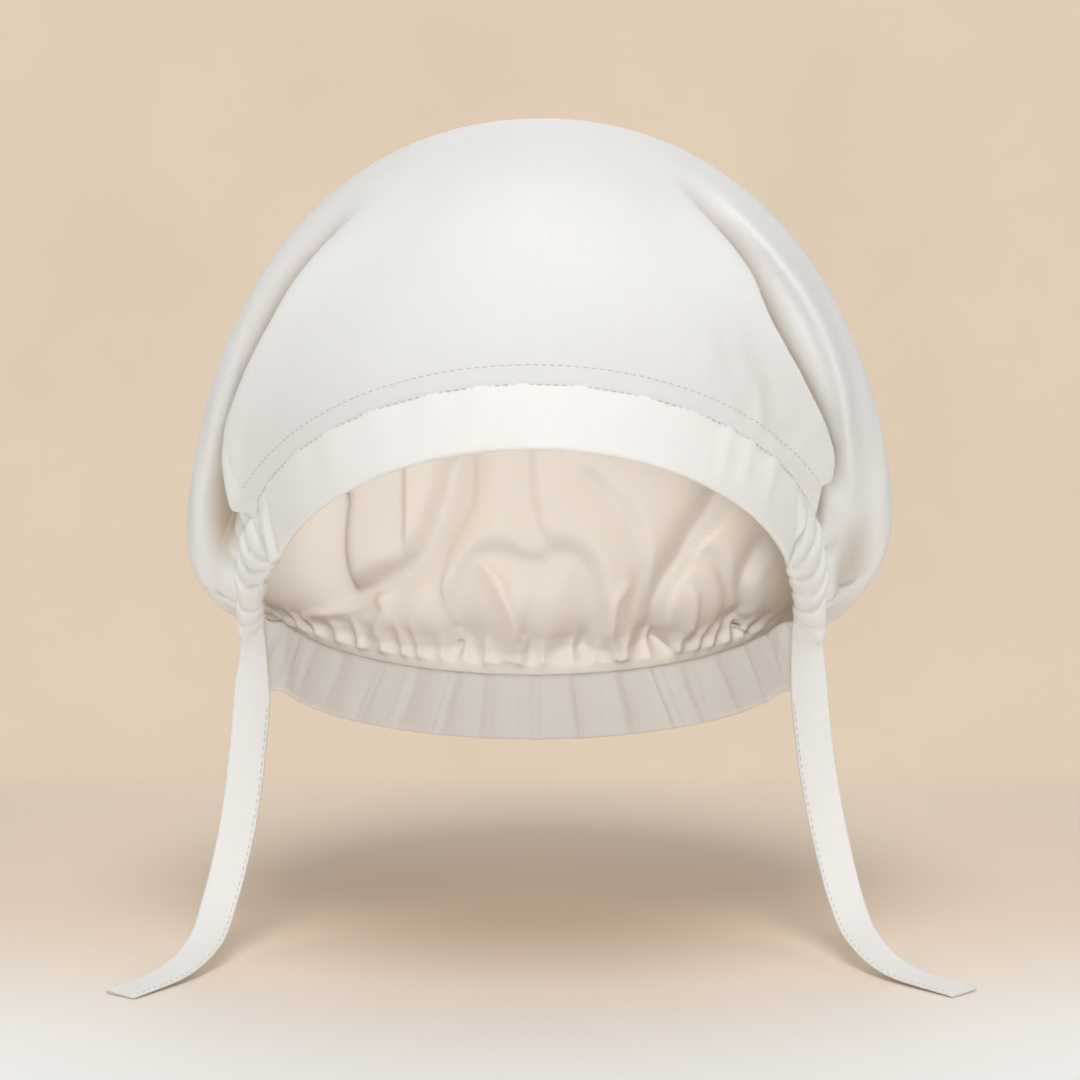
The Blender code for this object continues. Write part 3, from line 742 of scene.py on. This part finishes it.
class CAP_OT_crown(bpy.types.Operator):
    """Models the full outer cloth with its rolled folds and gathers."""
    bl_idname = "sleep_cap.crown"
    bl_label = "Crown"

    def execute(self, context):
        sizes = context.scene.cap_sizes

        def place(across, up):
            rise = up ** 1.35
            return column_angle(across, rise), rise

        def form(across, up):
            return crown_point(*place(across, up))

        def lay(across, up):
            return dome_lay(*place(across, up))

        # Painted shade: how deep each point lies in a fold or gather, kept as the crease attribute for the material.
        def shade(across, up):
            angle, rise = place(across, up)
            girth = girth_of(crown_base(angle, rise))
            height = fold_height(angle, rise, girth)[0] + gather_height(angle, rise, girth)
            return -height / (CREASE_SHADE_DEPTH * MILLIMETRE)

        piece = make_sheet("crown_cloth", 380, 120, form, lay, sizes.cloth_wall, shade)
        sew_in(piece, "crown", "silk_sateen")
        return {"FINISHED"}


class CAP_OT_lining(bpy.types.Operator):
    """Models the loose satin lining with the drapes that the opening shows."""
    bl_idname = "sleep_cap.lining"
    bl_label = "Lining"

    def execute(self, context):
        sizes = context.scene.cap_sizes

        def place(across, up):
            turn = 360.0 * across - 180.0
            return turn + 22.0 * np.sin(np.radians(turn)), up ** 1.3

        def form(across, up):
            return lining_point(*place(across, up))

        def lay(across, up):
            return dome_lay(*place(across, up))

        # Painted shade over the back of the lining: a light tint all over it, deeper in the creases between the
        # drapes and none on their crests.
        def shade(across, up):
            angle, rise = place(across, up)
            drape = drape_height(crown_base(angle, rise)) / (9.0 * MILLIMETRE)
            return ease(np.abs(angle), 98.0, 112.0) * ease(rise, 0.02, 0.08) * (0.30 - drape)

        piece = make_sheet("lining_satin", 400, 115, form, lay, sizes.lining_wall, shade)
        sew_in(piece, "lining", "silk_satin")
        return {"FINISHED"}


class CAP_OT_band(bpy.types.Operator):
    """Models the plain folded band over the brow."""
    bl_idname = "sleep_cap.band"
    bl_label = "Front band"

    def execute(self, context):
        sizes = context.scene.cap_sizes

        def form(across, up):
            angle = (2 * across - 1.0) * (CASING_START - 0.5)
            wide, out = flat_profile(up, BAND_WIDTH / 2, sizes.band_wall / 2)
            share = wide / BAND_WIDTH + 0.5
            run = np.radians(angle)
            slack = 0.20 * np.cos(34.0 * run + 1.5 * wander(run, 5, 0.7)) * ease(share, 0.2, 0.9)
            slack += 0.25 * wander(run, 6, 2.0) * np.sin(np.pi * share)
            pucker = ease(angle, 34.0, 44.0) * (1.0 - ease(angle, 52.0, 62.0)) * ease(share, 0.0, 0.5)
            slack += 0.28 * pucker * np.cos(52.0 * run + 1.5 * wander(run, 9, 0.2))
            crease = np.where(angle < 0.0, 69.7 - 3.0 * share, 72.0 - 7.0 * share + 2.5 * np.sin(np.pi * share))
            beyond = np.abs(angle) - crease
            leaf = 1.6 * ease(beyond, 0.0, 2.2) * (1.0 - ease(share, 0.50, 0.92)) - 0.7 * np.exp(-(beyond / 0.8) ** 2)
            slack += np.where(out > 0, leaf, 0.0)
            return band_point(angle, share) + (out + slack * MILLIMETRE)[:, None] * band_face(angle)

        def lay(across, up):
            wide, out = flat_profile(up, BAND_WIDTH / 2, sizes.band_wall / 2)
            return np.stack([0.25 * across, wide + 0.3 * (out < 0)], -1)

        piece = make_sheet("band_cloth", 260, 64, form, lay)
        sew_in(piece, "front_band", "silk_sateen")
        return {"FINISHED"}


class CAP_OT_elastic(bpy.types.Operator):
    """Models the pleated channel of the elastic round the nape."""
    bl_idname = "sleep_cap.elastic"
    bl_label = "Elastic"

    def execute(self, context):
        sizes = context.scene.cap_sizes

        def place(across, up):
            wide, out = flat_profile(up, ELASTIC_WIDTH / 2, sizes.elastic_wall / 2)
            return ELASTIC_START + (360.0 - 2 * ELASTIC_START) * across, 0.5 - wide / ELASTIC_WIDTH, out

        def pleats(angle, share):
            turn_round = np.radians(angle)
            run = turn_round + 0.20 * (share - 0.3) * np.sin(turn_round)
            phase = 17.0 * run + 0.75 * wander(run, 7, 1.1) + 0.12 * wander(share * 3.0 + run * 9.0, 1, 0.3)
            layer = (phase / np.pi) % 1.0
            fold = np.minimum(layer / 0.22, (1.0 - layer) / 0.78) ** 0.75
            second = np.abs(np.cos(2.1 * phase + 0.9 * wander(run, 5, 4.0))) ** 0.6
            held = 0.45 + 0.55 * np.sin(np.pi * np.clip(share, 0.03, 0.97))
            return (2.1 * fold + 1.0 * second * (0.6 + 0.4 * wander(run, 9, 4.0)) - 1.5) * held

        def form(across, up):
            angle, share, out = place(across, up)
            point = elastic_point(np.where(angle > 180.0, 360.0 - angle, angle), share)
            point[:, 0] *= np.where(angle > 180.0, -1.0, 1.0)
            return point + (out + pleats(angle, share) * MILLIMETRE)[:, None] * outward(angle)

        # Painted shade: darker in the hollows of the pleats, kept as the crease attribute.
        def shade(across, up):
            angle, share, _ = place(across, up)
            return -pleats(angle, share) / 4.5

        def lay(across, up):
            _, share, out = place(across, up)
            return np.stack([0.52 * across, (0.5 - share) * ELASTIC_WIDTH + 0.3 * (out < 0)], -1)

        piece = make_sheet("elastic_channel", 620, 48, form, lay, shade=shade)
        sew_in(piece, "elastic_band", "silk_sateen")
        return {"FINISHED"}


class CAP_OT_casings(bpy.types.Operator):
    """Models the two ruched casings that the ties run into."""
    bl_idname = "sleep_cap.casings"
    bl_label = "Side casings"

    def execute(self, context):
        self.make_one(-1.0, "left", LEFT_RUCHES, 0.92, 2.2)
        self.make_one(1.0, "right", RIGHT_RUCHES, 1.12, 0.6)
        return {"FINISHED"}

    def make_one(self, side, word, ruches, width, beside):
        def form(across, up):
            along = np.clip(up, 0.0, 1.0)
            inner, outer, plump = casing_edges(along)
            middle = (inner + outer) / 2
            reach = (outer - inner) / 2
            later = casing_edges(np.clip(along + 0.01, 0.0, 1.0))
            sooner = casing_edges(np.clip(along - 0.01, 0.0, 1.0))
            run = (later[0] + later[1] - sooner[0] - sooner[1]) / 2
            front = unit(np.cross(run, reach))
            turn = 2 * np.pi * across
            wide = np.sign(np.cos(turn)) * np.abs(np.cos(turn)) ** 0.7
            thick = np.sign(np.sin(turn)) * np.abs(np.sin(turn)) ** 0.8
            lines = [wide * (wide + 1) / 2 * row[0] + (1 - wide ** 2) * row[1] + wide * (wide - 1) / 2 * row[2]
                     for row in ruches]
            puff = np.zeros_like(along)
            for upper, lower in zip(lines[:-1], lines[1:]):
                share = np.clip((along - upper) / (lower - upper), 0.0, 1.0)
                puff = np.where((along >= upper) & (along < lower), np.sin(np.pi * share ** 0.6) ** 0.65, puff)
            rim = 1.0 - ease(along, 0.94, 1.0)
            full = 0.30 + 0.70 * ease(along, 0.0, 0.25)
            swell = 0.62 + 0.75 * puff * (0.35 + 0.65 * rim)
            point = middle + (wide * width * (0.90 + 0.13 * puff * rim * full))[:, None] * reach
            point = point + (thick * np.maximum(plump, 2.2 * MILLIMETRE) * swell / 1.7)[:, None] * front
            point[:, 0] += beside * MILLIMETRE * ease(along, 0.0, 0.4)
            point[:, 0] *= side
            return point

        def lay(across, up):
            return np.stack([0.03 * across, 0.09 * up], -1)

        piece = make_sheet(f"casing_{word}_cloth", 72, 220, form, lay)
        sew_in(piece, f"side_casing_{word}", "silk_sateen")


def tie_frame(side, route, share):
    """The tie's middle line, its direction across and its face, at shares of its length."""
    inner, outer, _ = casing_edges(np.array([1.0]))
    mouth = (inner[0] + outer[0]) / 2
    slope = unit(outer[0] - inner[0])
    rows = [(key, *row) for key, row in zip(np.linspace(0.0, 1.0, len(route)), route)]
    rows.insert(0, (-TIE_TUCK, 0.004, 0.020, -0.070, 0))

    def middle_at(place):
        way = [smooth_value(rows, 1, place), -smooth_value(rows, 2, place), -smooth_value(rows, 3, place)]
        return mouth - MILLIMETRE * UP + TIE_DROP * np.stack(way, -1)

    middle = middle_at(share)
    heading = unit(middle_at(np.clip(share + 0.01, -TIE_TUCK, 1)) - middle_at(np.clip(share - 0.01, -TIE_TUCK, 1)))
    turn = np.radians(smooth_value(rows, 4, share))
    level = np.stack([np.cos(turn), np.sin(turn), np.zeros_like(turn)], -1)
    start = 1.0 - ease(share, 0.0, 0.12)
    level = level + start[:, None] * (slope - level)
    level = unit(level - np.sum(level * heading, -1, keepdims=True) * heading)
    face = unit(np.cross(heading, level))
    for values in (middle, level, face):
        values[:, 0] *= side
    return middle, level, face


class CAP_OT_ties(bpy.types.Operator):
    """Models the two flat ties that hang from the casings and turn onto the floor."""
    bl_idname = "sleep_cap.ties"
    bl_label = "Ties"

    def execute(self, context):
        sizes = context.scene.cap_sizes
        for side, word, route, narrow in TIES:
            def form(across, up):
                share = (1.0 + TIE_TUCK) * up - TIE_TUCK
                wide, out = flat_profile(across, TIE_WIDTH / 2, sizes.tie_wall / 2)
                middle, level, face = tie_frame(side, route, share)
                crush = narrow + (1.0 - narrow) * ease(share, -0.02, 0.16)
                wide = crush * wide + (1.0 - crush) * TIE_WIDTH / 2
                return middle + wide[:, None] * level + out[:, None] * face

            def lay(across, up):
                wide, out = flat_profile(across, TIE_WIDTH / 2, sizes.tie_wall / 2)
                return np.stack([wide + 0.05 * (out < 0), 0.163 * up], -1)

            piece = make_sheet(f"tie_{word}_cloth", 40, 200, form, lay)
            sew_in(piece, f"tie_{word}", "silk_sateen")
        return {"FINISHED"}


def stitch_row(name, line, face, sizes):
    """Stitches of thread along a close line of points, each lying on the cloth whose way out is face."""
    deselect()
    bpy.ops.mesh.primitive_uv_sphere_add(segments=6, ring_count=4, radius=0.5)
    pattern = bpy.context.object
    pattern.data.transform(Matrix.Diagonal((sizes.thread, sizes.thread, sizes.stitch_length, 1.0)))
    steps = np.linalg.norm(np.diff(line, axis=0), axis=1)
    run = np.concatenate([[0.0], np.cumsum(steps)])
    stitches = []

    def read(values, place):
        return np.array([np.interp(place, run, values[:, axis]) for axis in range(3)])

    for place in np.arange(sizes.stitch_pitch / 2, run[-1], sizes.stitch_pitch):
        at = read(line, place)
        way = Vector(read(line, place + MILLIMETRE) - at).normalized()
        across = Vector(read(face, place)).cross(way).normalized()
        turn = Matrix((across, way.cross(across), way)).transposed().to_4x4()
        turn.translation = Vector(at)
        stitch = pattern.copy()
        stitch.data = pattern.data.copy()
        stitch.data.transform(turn)
        bpy.context.scene.collection.objects.link(stitch)
        stitches.append(stitch)
    bpy.data.objects.remove(pattern, do_unlink=True)
    deselect()
    for stitch in stitches:
        stitch.select_set(True)
    bpy.context.view_layer.objects.active = stitches[0]
    bpy.ops.object.join()
    row = bpy.context.object
    row.name = name
    row.data.name = name
    bpy.ops.object.shade_smooth()
    sew_in(row, None, "sewing_thread")
    return row


class CAP_OT_stitching(bpy.types.Operator):
    """Sews the two rows of stitches over the brow and one row down each tie."""
    bl_idname = "sleep_cap.stitching"
    bl_label = "Stitching"

    def execute(self, context):
        sizes = context.scene.cap_sizes
        angle = np.linspace(-71.5, 71.5, 400)
        face = band_face(angle)
        low = band_point(angle, 0.955) + (sizes.band_wall / 2) * face
        stitch_row("seam_stitches", low, face, sizes)
        rise = sizes.row_gap / (3.0 * CROWN_BILLOW * smooth_value(MERIDIANS, 2, np.abs(angle)))
        normal = crown_normal(angle, rise)
        high = crown_point(angle, rise) + (sizes.cloth_wall / 2) * normal
        stitch_row("brow_stitches", high, normal, sizes)
        for side, word, route, _ in TIES:
            share = np.linspace(0.16, 0.99, 300)
            middle, level, front = tie_frame(side, route, share)
            edge = middle - (TIE_WIDTH / 2 - MILLIMETRE) * level
            stitch_row(f"tie_{word}_stitches", edge + (sizes.tie_wall / 2) * front, front, sizes)
        return {"FINISHED"}


class CAP_OT_stage(bpy.types.Operator):
    """Lays the pale floor, hangs the lights and places the camera, once the pieces are there."""
    bl_idname = "sleep_cap.stage"
    bl_label = "Stage"

    def execute(self, context):
        self.floor(CAD_BOX[0][2] - 0.2 * MILLIMETRE)
        for name, (place, size, power, piece) in LAMPS.items():
            self.light(name, place, size, power, piece)
        self.backdrop(context.scene)
        camera = bpy.data.objects.new("camera", bpy.data.cameras.new("camera"))
        context.scene.collection.objects.link(camera)
        camera.location = EYE
        camera.rotation_euler = (math.radians(82.7), 0.0, 0.0)
        camera.data.lens = 99.5
        camera.data.sensor_width = 36.0
        context.scene.camera = camera
        context.scene.view_settings.view_transform = "Standard"
        return {"FINISHED"}

    def floor(self, height):
        """A pale board that fades into the backdrop behind the cap, painted whiter at its front and with a painted
        shadow round the cap.
        """
        deselect()
        bpy.ops.mesh.primitive_plane_add(size=1.0)
        floor = bpy.context.object
        floor.name = "floor"
        for vertex in floor.data.vertices:
            across, along, _ = vertex.co
            vertex.co = (across * 7.0, along * 3.9 - 1.65, height)
        board = plain_material("painted_board", "#EBD9C0", 0.8)
        tree = board.node_tree
        shader = tree.nodes["Principled BSDF"]
        place = add_node(tree, "ShaderNodeTexCoord").outputs["Object"]
        depth = add_node(tree, "ShaderNodeSeparateXYZ", Vector=place).outputs["Y"]
        # Whiter at the front and warmer towards the back: the warm back matches the backdrop, and the whiter front is
        # painted light.
        ground = mix(tree, span(tree, depth, -0.18, 0.06), "#FFFEFA", "#F4E1CB")
        # Painted shadow: the board turns darker and warmer close under the cap, standing in for its shadow and
        # bounced light.
        reach = add_node(tree, "ShaderNodeVectorMath", {"operation": "LENGTH"}, i0=place).outputs["Value"]
        painted_cap_shadow = mix(tree, span(tree, reach, 0.04, 0.25, 0.45, 0.0), ground, "#D3A978")
        tree.links.new(painted_cap_shadow, shader.inputs["Base Color"])
        tree.links.new(span(tree, depth, 0.225, 0.29, 1.0, 0.0), shader.inputs["Alpha"])
        floor.data.materials.append(board)

    def backdrop(self, scene):
        """A warm, slightly mottled backdrop to look at, that gives hardly any light."""
        world = bpy.data.worlds.new("studio")
        scene.world = world
        world.use_nodes = True
        tree = world.node_tree
        light = tree.nodes["Background"]
        light.inputs["Color"].default_value = (1.0, 1.0, 1.0, 1.0)
        light.inputs["Strength"].default_value = 0.28
        way = add_node(tree, "ShaderNodeTexCoord").outputs["Generated"]
        mottle = add_node(tree, "ShaderNodeTexNoise", Vector=way, Scale=14.0, Detail=4.0, Roughness=0.6)
        paint = mix(tree, mottle.outputs["Fac"], "#DAC7AE", "#E6D3BC")
        seen = add_node(tree, "ShaderNodeBackground", Color=paint, Strength=1.0)
        camera_ray = add_node(tree, "ShaderNodeLightPath").outputs["Is Camera Ray"]
        both = add_node(tree, "ShaderNodeMixShader", Fac=camera_ray, i1=light.outputs["Background"],
                        i2=seen.outputs["Background"])
        tree.links.new(both.outputs["Shader"], tree.nodes["World Output"].inputs["Surface"])

    def light(self, name, place, size, power, piece):
        """A round soft lamp aimed at the cap, which lights only the piece, where one is named."""
        lamp = bpy.data.lights.new(name, "AREA")
        lamp.shape = "DISK"
        lamp.size = size
        lamp.energy = power
        lamp.color = linear("#F9FBFF" if piece else "#FFFFFF")
        holder = bpy.data.objects.new(name, lamp)
        bpy.context.scene.collection.objects.link(holder)
        holder.location = place
        holder.rotation_euler = (Vector(LAMP_AIM) - Vector(place)).to_track_quat("-Z", "Y").to_euler()
        if piece:
            lit = bpy.data.collections.new(name)
            lit.objects.link(bpy.data.objects[piece])
            holder.light_linking.receiver_collection = lit


class CAP_PT_panel(bpy.types.Panel):
    """Lists the cap's sizes and colours and its steps in the sidebar."""
    bl_label = "Sleep Cap"
    bl_idname = "CAP_PT_panel"
    bl_space_type = "VIEW_3D"
    bl_region_type = "UI"
    bl_category = "Sleep Cap"

    def draw(self, context):
        for group in (context.scene.cap_sizes, context.scene.cap_finish):
            for name in group.__annotations__:
                self.layout.prop(group, name)
        for operator in OPERATORS:
            self.layout.operator(operator.bl_idname)


OPERATORS = (CAP_OT_crown, CAP_OT_lining, CAP_OT_band, CAP_OT_elastic, CAP_OT_casings, CAP_OT_ties,
             CAP_OT_stitching, CAP_OT_stage)
CLASSES = (CapSizes, CapFinish, *OPERATORS, CAP_PT_panel)


def register():
    for item in CLASSES:
        bpy.utils.register_class(item)
    bpy.types.Scene.cap_sizes = bpy.props.PointerProperty(type=CapSizes)
    bpy.types.Scene.cap_finish = bpy.props.PointerProperty(type=CapFinish)


def unregister():
    del bpy.types.Scene.cap_sizes
    del bpy.types.Scene.cap_finish
    for item in reversed(CLASSES):
        bpy.utils.unregister_class(item)


def main():
    register()
    for step in ("crown", "lining", "band", "elastic", "casings", "ties", "stitching", "stage"):
        getattr(bpy.ops.sleep_cap, step)()
    bpy.context.view_layer.update()


if __name__ == "__main__":
    main()
